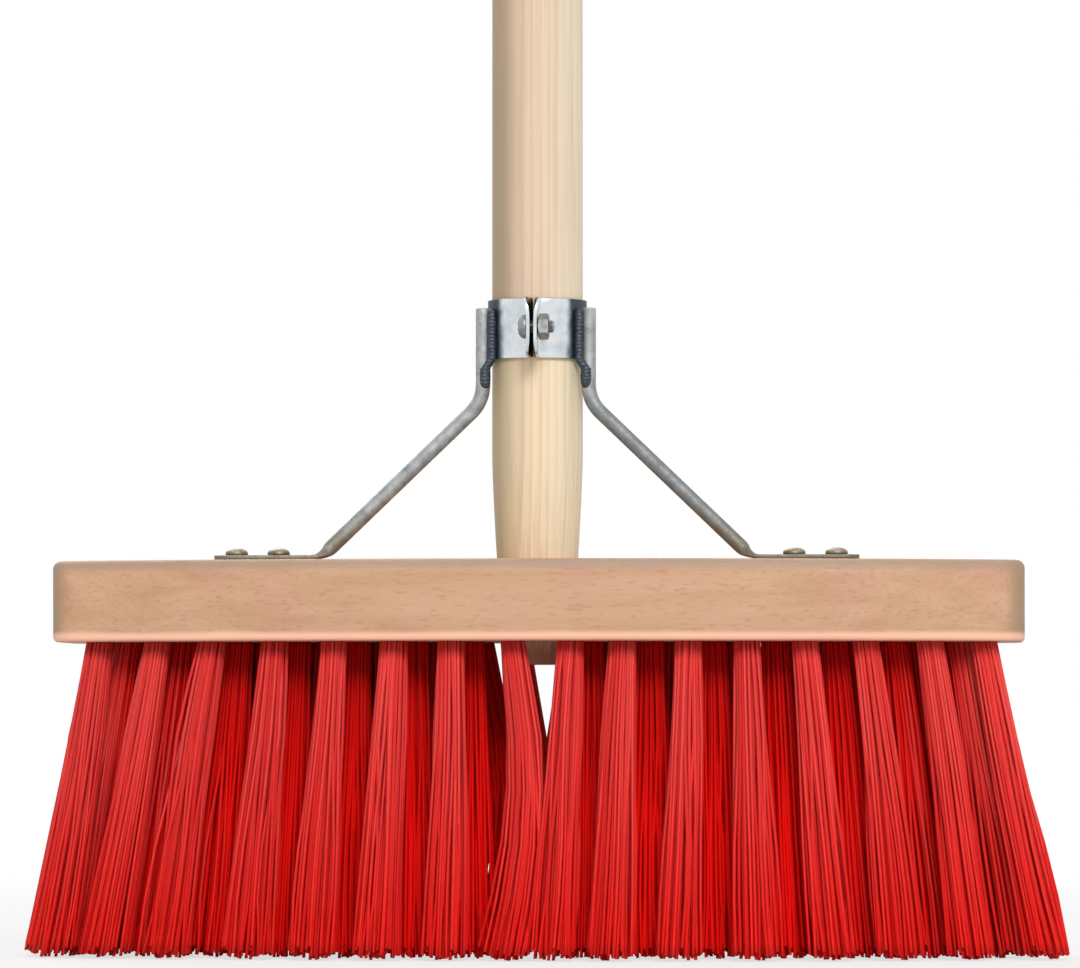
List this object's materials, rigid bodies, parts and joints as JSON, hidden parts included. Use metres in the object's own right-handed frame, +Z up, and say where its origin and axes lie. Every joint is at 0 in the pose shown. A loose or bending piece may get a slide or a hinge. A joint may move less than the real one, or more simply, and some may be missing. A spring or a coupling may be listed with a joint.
{
  "type": "half-round broom",
  "caption": "Street broom with a bowed wooden block, a fan of stiff red bristle tufts, a tapered wooden handle and a bolted round-bar brace.",
  "frame": {"origin": "on the floor, under the handle's axis, in the plane of the bristle tips", "axes": "+Z up along the handle, +X along the block, -Y towards the bowed front of the block"},
  "size_m": [0.3182, 0.0887, 1.49],
  "materials": {
    "block_wood": "planed beech, matt",
    "handle_wood": "turned pale wood, fine sanded",
    "bristle": "extruded red fibre, satin",
    "zinc_steel": "bright zinc plated",
    "fastener_steel": "bright zinc plated"
  },
  "bodies": {
    "head": {"block": "block_wood", "tuft_row_1_left": "bristle", "tuft_row_1_right": "bristle", "tuft_row_2_left": "bristle", "tuft_row_2_right": "bristle", "tuft_row_3_left": "bristle", "tuft_row_3_right": "bristle", "tuft_row_4_left": "bristle", "tuft_row_4_right": "bristle", "tuft_row_5_left": "bristle", "tuft_row_5_right": "bristle", "brace_arm_left": "zinc_steel", "brace_arm_right": "zinc_steel", "clamp_strap": "zinc_steel", "clamp_bolt": "fastener_steel", "wood_screw_left_1": "fastener_steel", "wood_screw_left_2": "fastener_steel", "wood_screw_right_1": "fastener_steel", "wood_screw_right_2": "fastener_steel"},
    "pole": {"handle": "handle_wood"},
    "nut": {"clamp_nut": "fastener_steel"}
  },
  "joints": [
    {"name": "handle_slide", "type": "slide", "parent": "head", "child": "pole", "axis": [0, 0, 1], "range_m": [0, 0.112]},
    {"name": "nut_spin", "type": "hinge", "parent": "head", "child": "nut", "pos_m": [0.0035, -0.02254, 0.1932], "axis": [1, 0, 0], "continuous": true}
  ]
}
